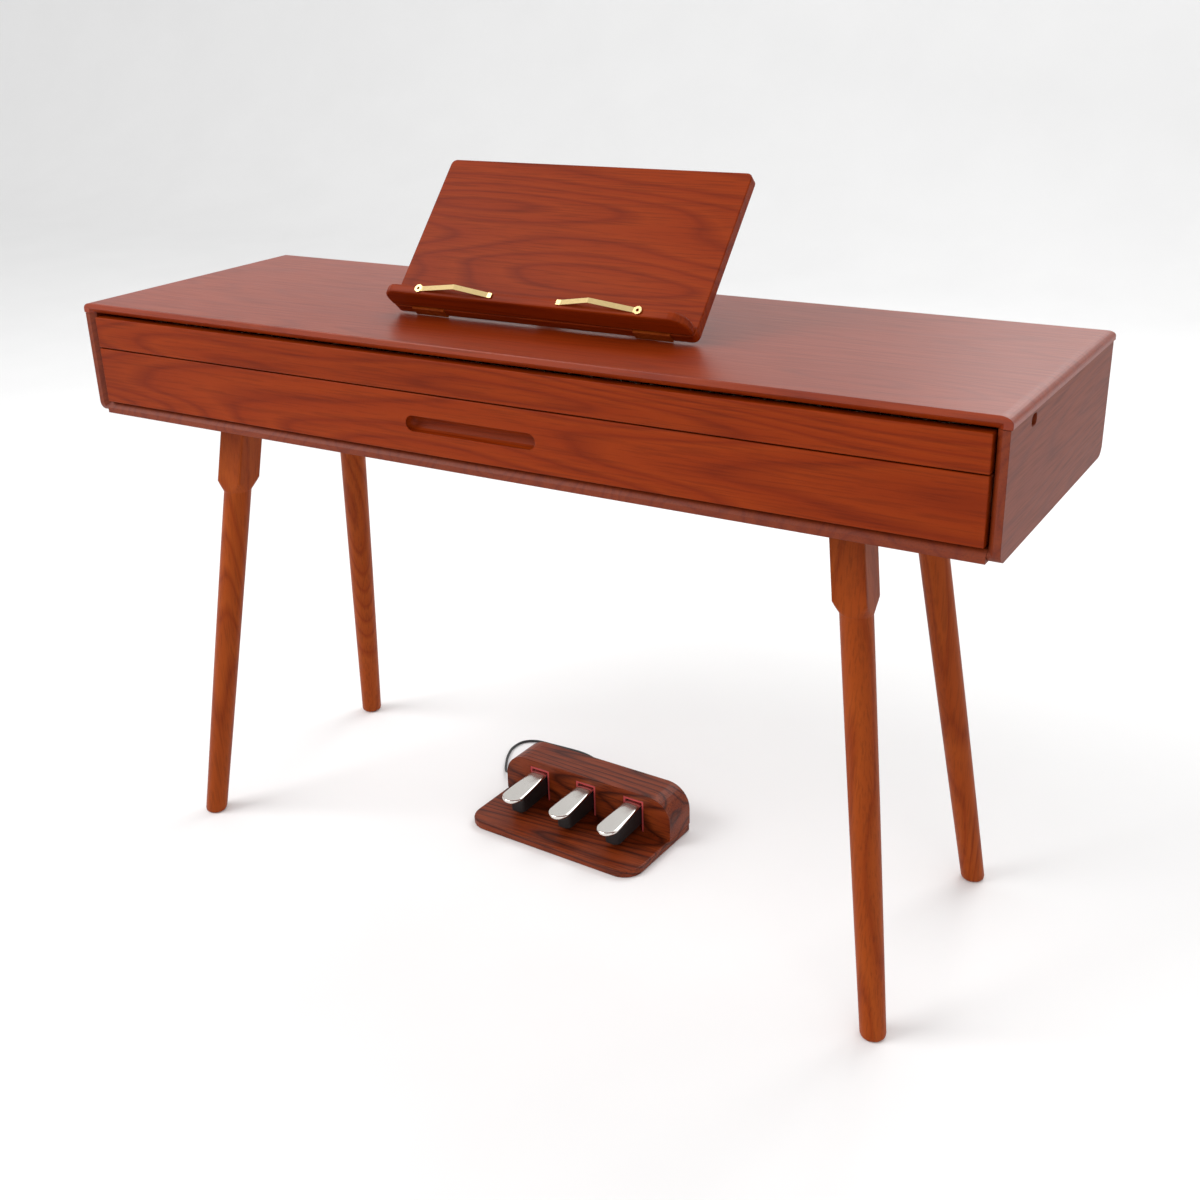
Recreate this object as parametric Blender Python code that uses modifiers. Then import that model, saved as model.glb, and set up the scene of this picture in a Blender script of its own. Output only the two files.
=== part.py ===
"""A desk digital piano with a pull-out keyboard drawer, a folding book stand on
top and a separate three-pedal unit on the floor. Metres, Z up, front towards -Y,
the floor at z = 0."""

import math

import bmesh
import bpy
from mathutils import Matrix, Vector

for old in list(bpy.data.objects):
    bpy.data.objects.remove(old, do_unlink=True)

# Case
TOP_W = 1.350  # over the top board
TOP_OVER = 0.002  # top board past each side panel
CASE_D = 0.426
TOP_Z = 0.817  # playing side of the top board
CASE_Z = 0.656  # underside of the case, top of the legs
TOP_T = 0.0145
SIDE_T = 0.015
BOTTOM_T = 0.0145
BACK_T = 0.008
CHAMFER = 0.007  # bevel round the front opening
FIT = 0.0003  # air between pieces that touch
FRONT_Y = -0.2085
BACK_Y = FRONT_Y + CASE_D
SIDE_X = TOP_W / 2 - TOP_OVER
INNER_X = SIDE_X - SIDE_T
BOTTOM_TOP = CASE_Z + BOTTOM_T
TOP_UNDER = TOP_Z - TOP_T

# Legs
LEG_SQUARE = 0.044
LEG_TOP_X = 0.475
LEG_FOOT_X = 0.5645
LEG_TOP_IN = 0.089  # leg centre behind the front plane, at the top
LEG_FOOT_IN = 0.0070
LEG_REAR_IN = 0.022
LEG_BLOCK = 0.100
LEG_POMMEL = 0.016
LEG_NECK_R = 0.0209
LEG_FOOT_R = 0.0168

# Drawer front
FRONT_T = 0.018
FRONT_GAP = 0.003
FRONT_X = INNER_X - FRONT_GAP
LOWER_Z0 = 0.6730
LOWER_Z1 = 0.7519
FLAP_Z0 = 0.7536
FLAP_Z1 = 0.7974
EASE = 0.0012
PULL_HALF = 0.0995
PULL_Z = 0.7122
PULL_R = 0.0112
PULL_DEPTH = 0.0038

# Drawer box, measured back from the front plane
BOX_X = 0.6450
BOX_BACK = 0.400
BASE_Z0 = 0.6740
BASE_T = 0.012
CHEEK_IN = 0.6125
CHEEK_TOP = 0.7857
RUNNER_Z = 0.725
RUNNER_LEN = 0.370
RUNNER_AT = 0.020

# Keyboard
WHITE = 0.0235
WHITES = 52
KEY_SLOT = 0.001
KEY_V0 = 0.022
HEAD_V = 0.071
TAIL_V = 0.226
COMB_V = 0.242
KEY_TOP = 0.7810
KEY_UNDER = 0.7615
BLACK_W = 0.0100
BLACK_V1 = 0.1716
BLACK_TOP = 0.7925
PIVOT_V = 0.232
PIVOT_Z = 0.759

# Control panel
PANEL_V0 = 0.1726
PANEL_V1 = 0.300
PANEL_Z0 = 0.786
PANEL_Z1 = 0.794
CONTROL_V = 0.270
SPEAKER_X = 0.500

# Book stand, in its own frame: u along the board, a up the board, n out of its face
STAND_X = 0.020
STAND_Y = -0.0806
STAND_RISE = 0.01184
STAND_LEAN = math.radians(42.4)
BOARD_HALF = 0.230
BOARD_LEN = 0.2327
BOARD_T = 0.0153
LEDGE_T = 0.0129
LEDGE_D = 0.0366
FOOT_U = 0.170
FOOT_W = 0.052
FOOT_OUT = 0.0022  # the feet stand proud of the lower edge
PROP_A = 0.200
CLIP_U = 0.165

# Pedal unit, in its own frame: u along it, v backwards
UNIT_X = -0.018
UNIT_Y = 0.0325
UNIT_TURN = math.radians(-2.8)
UNIT_W = 0.310
UNIT_D = 0.169
UNIT_BASE_T = 0.012
UNIT_H = 0.0775
UNIT_WALL_V = 0.0256
UNIT_ROUND = 0.038
PEDAL_STEP = 0.089
SLOT_HALF = 0.0184
SLOT_TOP = 0.0660
FELT_T = 0.0028
PEDAL_PIVOT_V = 0.060
PEDAL_PIVOT_Z = 0.045
PEDAL_SLOPE = 0.0857
PEDAL_Z = 0.0602  # top of the pedal where it leaves the housing
PEDAL_T = 0.0065
LEVER_HALF = 0.0130

# Cord
CORD_D = 0.0042

piano = bpy.data.collections.new("desk_piano")
bpy.context.scene.collection.children.link(piano)
tools = bpy.data.collections.new("cutters")
bpy.context.scene.collection.children.link(tools)

FINISH = {
    "cherry": ((0.36, 0.085, 0.025, 1), 0.0, 0.32),
    "leg": ((0.42, 0.12, 0.04, 1), 0.0, 0.35),
    "oak_red": ((0.27, 0.075, 0.035, 1), 0.0, 0.42),
    "ply": ((0.55, 0.40, 0.25, 1), 0.0, 0.6),
    "steel": ((0.60, 0.60, 0.62, 1), 1.0, 0.35),
    "nickel": ((0.78, 0.76, 0.73, 1), 1.0, 0.12),
    "brass": ((0.72, 0.54, 0.25, 1), 1.0, 0.3),
    "ivory": ((0.86, 0.85, 0.81, 1), 0.0, 0.3),
    "ebony": ((0.02, 0.02, 0.022, 1), 0.0, 0.35),
    "black": ((0.015, 0.014, 0.014, 1), 0.0, 0.4),
    "panel": ((0.03, 0.03, 0.032, 1), 0.0, 0.5),
    "glass": ((0.02, 0.05, 0.06, 1), 0.0, 0.08),
    "board": ((0.03, 0.16, 0.06, 1), 0.0, 0.5),
    "cone": ((0.05, 0.05, 0.05, 1), 0.0, 0.8),
    "felt": ((0.45, 0.01, 0.01, 1), 0.0, 0.95),
    "rubber": ((0.02, 0.02, 0.02, 1), 0.0, 0.6),
}


def dress(obj, finish):
    """Gives the object a material of its own with the named finish."""
    colour, metal, rough = FINISH[finish]
    mat = bpy.data.materials.new(obj.name)
    mat.use_nodes = True
    shader = mat.node_tree.nodes["Principled BSDF"]
    shader.inputs["Base Color"].default_value = colour
    shader.inputs["Metallic"].default_value = metal
    shader.inputs["Roughness"].default_value = rough
    mat.diffuse_color = colour
    obj.data.materials.clear()
    obj.data.materials.append(mat)


def put(name, bm, finish, parent=None, smooth=False, home=piano):
    """Turns a bmesh into an object with all its faces outwards."""
    bmesh.ops.recalc_face_normals(bm, faces=bm.faces)
    mesh = bpy.data.meshes.new(name)
    bm.to_mesh(mesh)
    bm.free()
    if smooth:
        for face in mesh.polygons:
            face.use_smooth = True
    obj = bpy.data.objects.new(name, mesh)
    home.objects.link(obj)
    obj.parent = parent
    if finish:
        dress(obj, finish)
    return obj


AXES = {"x": (1, 2, 0), "y": (0, 2, 1), "z": (0, 1, 2)}


def prism_bm(bm, outline, axis, low, high):
    """Adds an outline, drawn across the given axis, extruded from low to high."""
    first, second, along = AXES[axis]
    points = []
    for one, two in outline:
        co = [0.0, 0.0, 0.0]
        co[first], co[second], co[along] = one, two, low
        points.append(bm.verts.new(co))
    face = bm.faces.new(points)
    push = bmesh.ops.extrude_face_region(bm, geom=[face])
    shift = Vector((0, 0, 0))
    shift[along] = high - low
    moved = [g for g in push["geom"] if isinstance(g, bmesh.types.BMVert)]
    bmesh.ops.translate(bm, verts=moved, vec=shift)


def prism(name, outline, axis, low, high, finish, parent=None, home=piano):
    bm = bmesh.new()
    prism_bm(bm, outline, axis, low, high)
    return put(name, bm, finish, parent, home=home)


def box(name, xs, ys, zs, finish, parent=None, home=piano):
    outline = [(xs[0], ys[0]), (xs[1], ys[0]), (xs[1], ys[1]), (xs[0], ys[1])]
    return prism(name, outline, "z", zs[0], zs[1], finish, parent, home)


def cutter(obj):
    """Keeps a cutting or joining shape out of the picture."""
    obj.hide_render = True
    obj.display_type = "WIRE"
    return obj


def combine(obj, tool, how="DIFFERENCE"):
    mod = obj.modifiers.new(how.title(), "BOOLEAN")
    mod.operation = how
    mod.solver = "EXACT"
    mod.object = tool


def ease(obj, width, segments=1, angle=50):
    """Rounds the sharp edges of a board."""
    mod = obj.modifiers.new("Ease", "BEVEL")
    mod.width = width
    mod.segments = segments
    mod.limit_method = "ANGLE"
    mod.angle_limit = math.radians(angle)


def frame(name, place, turn=None, parent=None):
    """An empty that carries the pieces of one moving body."""
    obj = bpy.data.objects.new(name, None)
    piano.objects.link(obj)
    obj.matrix_world = Matrix.Translation(place) @ (turn or Matrix.Identity(4))
    obj.parent = parent
    return obj


def arc(cx, cy, rx, ry, start, stop, steps):
    """Points along an ellipse arc, the angles in degrees."""
    points = []
    for k in range(steps + 1):
        t = math.radians(start + (stop - start) * k / steps)
        points.append((cx + rx * math.cos(t), cy + ry * math.sin(t)))
    return points


def rounded(x0, x1, y0, y1, radii, steps=5):
    """A rectangle with rounded corners, radii from lower left anticlockwise."""
    places = [(x0, y0, 180), (x1, y0, 270), (x1, y1, 0), (x0, y1, 90)]
    points = []
    for (x, y, start), r in zip(places, radii):
        if r <= 0:
            points.append((x, y))
            continue
        cx = x + r if x == x0 else x - r
        cy = y + r if y == y0 else y - r
        points += arc(cx, cy, r, r, start, start + 90, steps)
    return points


def tube(name, centre, axis, radius, low, high, finish, sides=24, parent=None, home=piano):
    """A plain round bar along one axis."""
    outline = arc(centre[0], centre[1], radius, radius, 0, 360 - 360 / sides, sides - 1)
    return prism(name, outline, axis, low, high, finish, parent, home)


def turned(name, profile, place, turn, finish, steps=24, parent=None, home=piano):
    """A solid turned about its own Z from (radius, height) points, outer side top to bottom."""
    bm = bmesh.new()
    rings = [bm.verts.new((r, 0, z)) for r, z in profile]
    if profile[0] == profile[-1]:
        bm.verts.remove(rings.pop())
        rings.append(rings[0])
    for one, two in zip(rings, rings[1:]):
        bm.edges.new((one, two))
    mesh = bpy.data.meshes.new(name)
    bm.to_mesh(mesh)
    bm.free()
    obj = bpy.data.objects.new(name, mesh)
    home.objects.link(obj)
    obj.matrix_world = Matrix.Translation(place) @ turn
    if parent:
        obj.parent = parent
        obj.matrix_parent_inverse = Matrix.Identity(4)
    mod = obj.modifiers.new("Turn", "SCREW")
    mod.axis = "Z"
    mod.steps = steps
    mod.render_steps = steps
    mod.use_merge_vertices = True
    mod.merge_threshold = 0.00001
    for face in mesh.polygons:
        face.use_smooth = True
    if finish:
        dress(obj, finish)
    return obj


# The front opening has a bevel all round it: one tapered cutter makes it on the
# sides, the bottom and the underside of the top, so the corners meet in a mitre.
def opening_cutter():
    bm = bmesh.new()
    rings = []
    reach = CHAMFER + 0.002
    for y, grow in ((FRONT_Y - 0.002, reach), (FRONT_Y + CHAMFER, 0.0)):
        x = INNER_X + grow
        z0 = BOTTOM_TOP - grow
        z1 = TOP_UNDER + grow
        ring = [bm.verts.new(p) for p in ((-x, y, z0), (x, y, z0), (x, y, z1), (-x, y, z1))]
        rings.append(ring)
    bm.faces.new(rings[0])
    bm.faces.new(rings[1])
    for k in range(4):
        m = (k + 1) % 4
        bm.faces.new((rings[0][k], rings[0][m], rings[1][m], rings[1][k]))
    return cutter(put("cut_opening", bm, None, home=tools))


OPENING = opening_cutter()


def build_top():
    """Both ends and the back have a wide soft edge, the front stays square."""
    half = TOP_W / 2
    wide, tall, under = 0.014, 0.0085, 0.0015
    foot = TOP_Z - TOP_T
    right = [(half - under, foot), (half, foot + under)]
    right += arc(half - wide, TOP_Z - tall, wide, tall, 0, 90, 6)
    left = [(-x, z) for x, z in reversed(right)]
    top = prism("top_board", right + left, "y", FRONT_Y - 0.01, BACK_Y + 0.01, "cherry")
    for face in top.data.polygons:
        face.use_smooth = False
    side = [(FRONT_Y + under * 0.5, foot), (BACK_Y - under, foot), (BACK_Y, foot + under)]
    side += arc(BACK_Y - wide, TOP_Z - tall, wide, tall, 0, 90, 6)
    side += [(FRONT_Y + 0.001, TOP_Z), (FRONT_Y, TOP_Z - 0.001), (FRONT_Y, foot + under * 0.5)]
    shape = prism("shape_top", side, "x", -half - 0.01, half + 0.01, None, home=tools)
    combine(top, cutter(shape), "INTERSECT")
    combine(top, OPENING)


def build_sides():
    z0, z1 = CASE_Z, TOP_UNDER - FIT
    corner = 0.015
    outline = rounded(FRONT_Y, BACK_Y, z0, z1, (corner, corner, 0, 0), 6)
    for sign, name in ((-1, "side_panel_left"), (1, "side_panel_right")):
        low, high = sorted((sign * SIDE_X, sign * INNER_X))
        panel = prism(name, outline, "x", low, high, "cherry")
        combine(panel, OPENING)
        if sign > 0:
            pocket = rounded(JACK_Y - 0.010, JACK_Y + 0.010, JACK_Z - 0.007, JACK_Z + 0.007, (0.00699,) * 4, 5)
            cut = prism("cut_jack_pocket", pocket, "x", SIDE_X - 0.005, SIDE_X + 0.005, None, home=tools)
            combine(panel, cutter(cut))
            bore = tube("cut_jack_bore", (JACK_Y, JACK_Z), "x", 0.0056, INNER_X - 0.01, SIDE_X, None, 20, home=tools)
            combine(panel, cutter(bore))


JACK_Y = -0.124
JACK_Z = 0.7925


def build_jack():
    """The headphone socket: a flange in the pocket and a blind barrel behind it."""
    turn = Matrix.Rotation(math.radians(90), 4, "Y")
    flange = SIDE_X - 0.005 + FIT
    profile = [
        (0.0033, 0.0014),
        (0.0063, 0.0014),
        (0.0063, 0.0),
        (0.0053, 0.0),
        (0.0053, -0.0195),
        (0.0, -0.0195),
        (0.0, -0.0170),
        (0.0033, -0.0170),
        (0.0033, 0.0014),
    ]
    profile = [
        (0.0, -0.0170),
        (0.0033, -0.0170),
        (0.0033, 0.0014),
        (0.0063, 0.0014),
        (0.0063, 0.0),
        (0.0053, 0.0),
        (0.0053, -0.0195),
        (0.0, -0.0195),
    ]
    turned("headphone_jack", profile, (flange, JACK_Y, JACK_Z), turn, "nickel", 20)


def build_bottom_and_back():
    x = INNER_X - FIT
    board = box("bottom_board", (-x, x), (FRONT_Y, BACK_Y - 0.002), (CASE_Z, BOTTOM_TOP), "cherry")
    combine(board, OPENING)
    rear = BACK_Y - 0.004
    z0, z1 = BOTTOM_TOP + FIT, TOP_UNDER - FIT
    back = box("back_panel", (-x, x), (rear - BACK_T, rear), (z0, z1), "ply")
    slot = rounded(-0.030, 0.030, z0 + 0.020, z0 + 0.044, (0.0119,) * 4, 4)
    cut = prism("cut_cable_slot", slot, "y", rear - 0.02, rear + 0.01, None, home=tools)
    combine(back, cutter(cut))


def build_legs():
    """A square block, a rounded shoulder and a tapering round shaft in one leg.

    Every level is cut level, so the leg stands flat on the floor although it splays.
    """
    turns = [90 * quarter + part for quarter in range(4) for part in (-42, -28, -14, 0, 14, 28, 42)]
    sides = len(turns)
    half = LEG_SQUARE / 2
    under = CASE_Z - FIT
    shoulder = CASE_Z - LEG_BLOCK
    neck = shoulder - LEG_POMMEL
    # height, half width, how round (0 square, 1 round)
    rows = [
        (under, half, 0.0),
        (shoulder, half, 0.0),
        (shoulder - LEG_POMMEL * 0.35, half * 0.995, 0.25),
        (shoulder - LEG_POMMEL * 0.65, half * 0.985, 0.55),
        (shoulder - LEG_POMMEL * 0.88, half * 0.970, 0.85),
        (neck, LEG_NECK_R + 0.0002, 1.0),
        (neck - 0.0004, LEG_NECK_R - 0.0006, 1.0),
        (neck - 0.060, LEG_NECK_R - 0.0008, 1.0),
        (0.30, 0.0192, 1.0),
        (0.15, 0.0181, 1.0),
        (0.006, LEG_FOOT_R, 1.0),
        (0.0022, LEG_FOOT_R - 0.0009, 1.0),
        (0.0006, LEG_FOOT_R - 0.0024, 1.0),
        (0.0, LEG_FOOT_R - 0.0042, 1.0),
    ]
    spots = {
        "leg_front_left": (-1, FRONT_Y + LEG_TOP_IN, FRONT_Y + LEG_FOOT_IN),
        "leg_front_right": (1, FRONT_Y + LEG_TOP_IN, FRONT_Y + LEG_FOOT_IN),
        "leg_rear_left": (-1, BACK_Y - LEG_REAR_IN - 0.081, BACK_Y - LEG_REAR_IN),
        "leg_rear_right": (1, BACK_Y - LEG_REAR_IN - 0.081, BACK_Y - LEG_REAR_IN),
    }
    for name, (sign, y_top, y_foot) in spots.items():
        bm = bmesh.new()
        rings = []
        for z, r, roundness in rows:
            drop = (CASE_Z - z) / CASE_Z
            cx = sign * (LEG_TOP_X + (LEG_FOOT_X - LEG_TOP_X) * drop)
            cy = y_top + (y_foot - y_top) * drop
            ring = []
            for turn in turns:
                t = math.radians(turn)
                c, s = math.cos(t), math.sin(t)
                corner = 1 / max(abs(c), abs(s))
                reach = r * (corner + (1 - corner) * roundness)
                ring.append(bm.verts.new((cx + reach * c, cy + reach * s, z)))
            rings.append(ring)
        bm.faces.new(rings[0])
        bm.faces.new(rings[-1])
        for one, two in zip(rings, rings[1:]):
            for k in range(sides):
                m = (k + 1) % sides
                bm.faces.new((one[k], one[m], two[m], two[k]))
        leg = put(name, bm, "leg")
        for face in leg.data.polygons:
            face.use_smooth = all(leg.data.vertices[v].co.z < shoulder + 0.001 for v in face.vertices)


def channel(sign, near, far, half, web, flange):
    """One sheet-metal slide member seen from the front: a web and two flanges."""
    outline = [(near, -half), (far, -half), (far, -half + flange), (near + web, -half + flange)]
    outline += [(near + web, half - flange), (far, half - flange), (far, half), (near, half)]
    return [(sign * (INNER_X - s), RUNNER_Z + h) for s, h in outline]


def build_runners(drawer, middle):
    """Three nested members on each side; the ball rows are part of the middle one."""
    y0 = FRONT_Y + RUNNER_AT
    y1 = y0 + RUNNER_LEN
    for sign, side in ((-1, "left"), (1, "right")):
        outer = channel(sign, 0.0003, 0.0100, 0.0228, 0.0012, 0.0012)
        prism("runner_outer_" + side, outer, "y", y0, y1, "steel")
        mid = channel(sign, 0.0030, 0.0106, 0.0213, 0.0012, 0.0042)
        prism("runner_middle_" + side, mid, "y", y0, y1, "steel", middle)
        # the inner member opens the other way and sits on the drawer side
        edge = INNER_X - BOX_X - FIT
        outline = [(edge, -0.0168), (0.0058, -0.0168), (0.0058, -0.0150), (edge - 0.0012, -0.0150)]
        outline += [(edge - 0.0012, 0.0150), (0.0058, 0.0150), (0.0058, 0.0168), (edge, 0.0168)]
        inner = [(sign * (INNER_X - s), RUNNER_Z + h) for s, h in outline]
        prism("runner_inner_" + side, inner, "y", y0, y1, "steel", drawer)


def at(v):
    """A distance behind the front plane as a Y value."""
    return FRONT_Y + v


def build_front(drawer, flap):
    lower = box("drawer_front", (-FRONT_X, FRONT_X), (at(0), at(FRONT_T)), (LOWER_Z0, LOWER_Z1), "cherry", drawer)
    ease(lower, EASE, 2)
    # finger pull: a round-nosed groove with round ends, a little wider inside
    ball = arc(0, 0, PULL_R, PULL_R, 90, 0, 6)
    profile = [(r, z + PULL_HALF - PULL_R) for r, z in ball]
    profile += [(r, -z - PULL_HALF + PULL_R) for r, z in reversed(ball)]
    profile[0] = (0.0, profile[0][1])
    profile[-1] = (0.0, profile[-1][1])
    turn = Matrix.Rotation(math.radians(90), 4, "Y")
    groove = turned("cut_pull", profile, (0, at(PULL_DEPTH), PULL_Z), turn, None, 24, home=tools)
    combine(lower, cutter(groove))
    strip = box("drawer_flap", (-FRONT_X, FRONT_X), (0, FRONT_T), (FLAP_Z0 - FLAP_AXIS_Z, FLAP_Z1 - FLAP_AXIS_Z), "cherry", flap)
    ease(strip, EASE, 2)


FLAP_AXIS_Z = (LOWER_Z1 + FLAP_Z0) / 2


def build_box(drawer):
    box("drawer_base", (-BOX_X, BOX_X), (at(0.0183), at(BOX_BACK)), (BASE_Z0, BASE_Z0 + BASE_T), "ply", drawer)
    z0 = BASE_Z0 + BASE_T + FIT
    for sign, side in ((-1, "left"), (1, "right")):
        low, high = sorted((sign * CHEEK_IN, sign * BOX_X))
        cheek = box("cheek_" + side, (low, high), (at(0.0183), at(BOX_BACK)), (z0, CHEEK_TOP), "cherry", drawer)
        ease(cheek, EASE)
    x = CHEEK_IN - FIT
    box("drawer_back", (-x, x), (at(0.388), at(BOX_BACK)), (z0, CHEEK_TOP - 0.010), "ply", drawer)
    box("key_rail", (-x, x), (at(0.222), at(0.2425)), (z0, 0.7448), "ply", drawer)
    # circuit board with its taller parts, as one stepped plate on the drawer base
    steps = [(-0.200, 0.0), (0.200, 0.0), (0.200, 0.006), (0.120, 0.006), (0.120, 0.022), (0.060, 0.022)]
    steps += [(0.060, 0.006), (-0.050, 0.006), (-0.050, 0.012), (-0.110, 0.012), (-0.110, 0.006), (-0.200, 0.006)]
    outline = [(x, z0 + z) for x, z in steps]
    prism("main_board", outline, "y", at(0.305), at(0.380), "board", drawer)


OCTAVE = "CDEFGAB"


def white_name(index):
    """The note letter of a white key, counted from the lowest A."""
    return OCTAVE[(index + 5) % 7]


def black_after(index):
    return index < WHITES - 2 and white_name(index) in "CDFGA"


def white_edge(index):
    return (index - WHITES / 2) * WHITE


def black_centre(index):
    nudge = {"C": -0.0025, "D": 0.0025, "F": -0.0035, "G": 0.0, "A": 0.0035}
    return white_edge(index + 1) + nudge[white_name(index)]


GROUPS = [(0, 9), (9, 23), (23, 37), (37, 52)]


def build_keys(parents):
    """The keys of each zone share one swinging comb, white or black."""
    slim = KEY_SLOT / 2
    reach = BLACK_W / 2 + KEY_SLOT
    for number, (first, last) in enumerate(GROUPS, 1):
        white_frame, black_frame = parents[number - 1]
        outline = []
        for i in range(first, last):
            x0 = white_edge(i) + slim
            x1 = white_edge(i + 1) - slim
            t0 = black_centre(i - 1) + reach if i > 0 and black_after(i - 1) else x0
            t1 = black_centre(i) - reach if black_after(i) else x1
            outline.append((t0, COMB_V if i == first else TAIL_V))
            if t0 != x0:
                outline += [(t0, HEAD_V), (x0, HEAD_V)]
            outline += [(x0, KEY_V0), (x1, KEY_V0)]
            if t1 != x1:
                outline += [(x1, HEAD_V), (t1, HEAD_V)]
            outline.append((t1, COMB_V if i == last - 1 else TAIL_V))
        local = [(x, v - PIVOT_V) for x, v in outline]
        prism("white_keys_%d" % number, local, "z", KEY_UNDER - PIVOT_Z, KEY_TOP - PIVOT_Z, "ivory", white_frame)

        shape = [(0.0735, 0.7665), (0.0735, 0.7855), (0.0775, 0.7915), (0.0795, BLACK_TOP), (BLACK_V1, BLACK_TOP)]
        shape += [(BLACK_V1, 0.7800), (0.2000, 0.7800), (0.2000, 0.7500), (0.1900, 0.7500), (0.1900, 0.7665)]
        shape = [(v - PIVOT_V, z - PIVOT_Z) for v, z in shape]
        bm = bmesh.new()
        places = [black_centre(i) for i in range(first, last) if black_after(i)]
        for x in places:
            prism_bm(bm, shape, "x", x - BLACK_W / 2, x + BLACK_W / 2)
        keys = put("black_keys_%d" % number, bm, "ebony", black_frame)
        rail = box(
            "join_rail_%d" % number,
            (places[0] - 0.009, places[-1] + 0.009),
            (0.1880 - PIVOT_V, 0.2360 - PIVOT_V),
            (0.7460 - PIVOT_Z, 0.7575 - PIVOT_Z),
            None,
            black_frame,
            tools,
        )
        combine(keys, cutter(rail), "UNION")


BUTTONS = {
    "power_button": (-0.200, 0.0060, 0.0018),
    "function_button_1": (0.095, 0.0040, 0.0015),
    "function_button_2": (0.125, 0.0040, 0.0015),
}
KNOB_X = -0.140


def build_panel(drawer, frames):
    panel = box("control_panel", (-BOX_X, BOX_X), (at(PANEL_V0), at(PANEL_V1)), (PANEL_Z0, PANEL_Z1), "panel", drawer)
    bm = bmesh.new()
    for sign in (-1, 1):
        for k in range(4):
            v = CONTROL_V + (k - 1.5) * 0.0105
            slot = rounded(sign * SPEAKER_X - 0.044, sign * SPEAKER_X + 0.044, at(v) - 0.0022, at(v) + 0.0022, (0.00219,) * 4, 2)
            prism_bm(bm, slot, "z", PANEL_Z0 - 0.01, PANEL_Z1 + 0.01)
    for x, r, _ in BUTTONS.values():
        prism_bm(bm, arc(x, at(CONTROL_V), r + 0.0004, r + 0.0004, 0, 345, 15), "z", PANEL_Z0 - 0.01, PANEL_Z1 + 0.01)
    prism_bm(bm, arc(KNOB_X, at(CONTROL_V), 0.0034, 0.0034, 0, 337.5, 15), "z", PANEL_Z0 - 0.01, PANEL_Z1 + 0.01)
    prism_bm(bm, [(-0.0503, at(0.2597)), (0.0503, at(0.2597)), (0.0503, at(0.2803)), (-0.0503, at(0.2803))], "z", PANEL_Z1 - 0.0018, PANEL_Z1 + 0.01)
    combine(panel, cutter(put("cut_panel", bm, None, home=tools)))
    box("display", (-0.050, 0.050), (at(0.260), at(0.280)), (PANEL_Z1 - 0.0015, PANEL_Z1 + 0.0003), "glass", drawer)

    # a button is a cap on a wider foot that keeps it under the panel
    for name, (x, r, _) in BUTTONS.items():
        profile = [(0, 0.0020), (r - 0.0006, 0.0020), (r, 0.0014), (r, -0.0085), (r + 0.0015, -0.0085), (r + 0.0015, -0.0105), (0, -0.0105)]
        turned(name, profile, (0, 0, 0), Matrix.Identity(4), "black", 16, frames[name])
    knob = [(0, 0.0056), (0.0070, 0.0056), (0.0080, 0.0046), (0.0080, 0.0003), (0.0030, 0.0003), (0.0030, -0.0150), (0, -0.0150)]
    turned("volume_knob", knob, (0, 0, 0), Matrix.Identity(4), "black", 20, frames["volume_knob"])

    # oval speakers hang under the grilles
    for sign, side in ((-1, "left"), (1, "right")):
        rim = rounded(sign * SPEAKER_X - 0.050, sign * SPEAKER_X + 0.050, at(CONTROL_V) - 0.023, at(CONTROL_V) + 0.023, (0.0229,) * 4, 5)
        unit = prism("speaker_" + side, rim, "z", PANEL_Z0 - 0.0053, PANEL_Z0 - FIT, "cone", drawer)
        can = rounded(sign * SPEAKER_X - 0.032, sign * SPEAKER_X + 0.032, at(CONTROL_V) - 0.015, at(CONTROL_V) + 0.015, (0.0149,) * 4, 4)
        body = prism("join_speaker_" + side, can, "z", PANEL_Z0 - 0.034, PANEL_Z0 - 0.004, None, home=tools)
        combine(unit, cutter(body), "UNION")
        bowl = rounded(sign * SPEAKER_X - 0.044, sign * SPEAKER_X + 0.044, at(CONTROL_V) - 0.018, at(CONTROL_V) + 0.018, (0.0179,) * 4, 4)
        hollow = prism("cut_speaker_" + side, bowl, "z", PANEL_Z0 - 0.0035, PANEL_Z0 + 0.01, None, home=tools)
        combine(unit, cutter(hollow))


def stand_turn():
    """Carries the stand's own axes (u, a, n) into the room."""
    up = Vector((0, math.sin(STAND_LEAN), math.cos(STAND_LEAN)))
    out = Vector((0, -math.cos(STAND_LEAN), math.sin(STAND_LEAN)))
    along = Vector((1, 0, 0))
    return Matrix((
        (along.x, up.x, out.x, 0),
        (along.y, up.y, out.y, 0),
        (along.z, up.z, out.z, 0),
        (0, 0, 0, 1),
    ))


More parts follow.
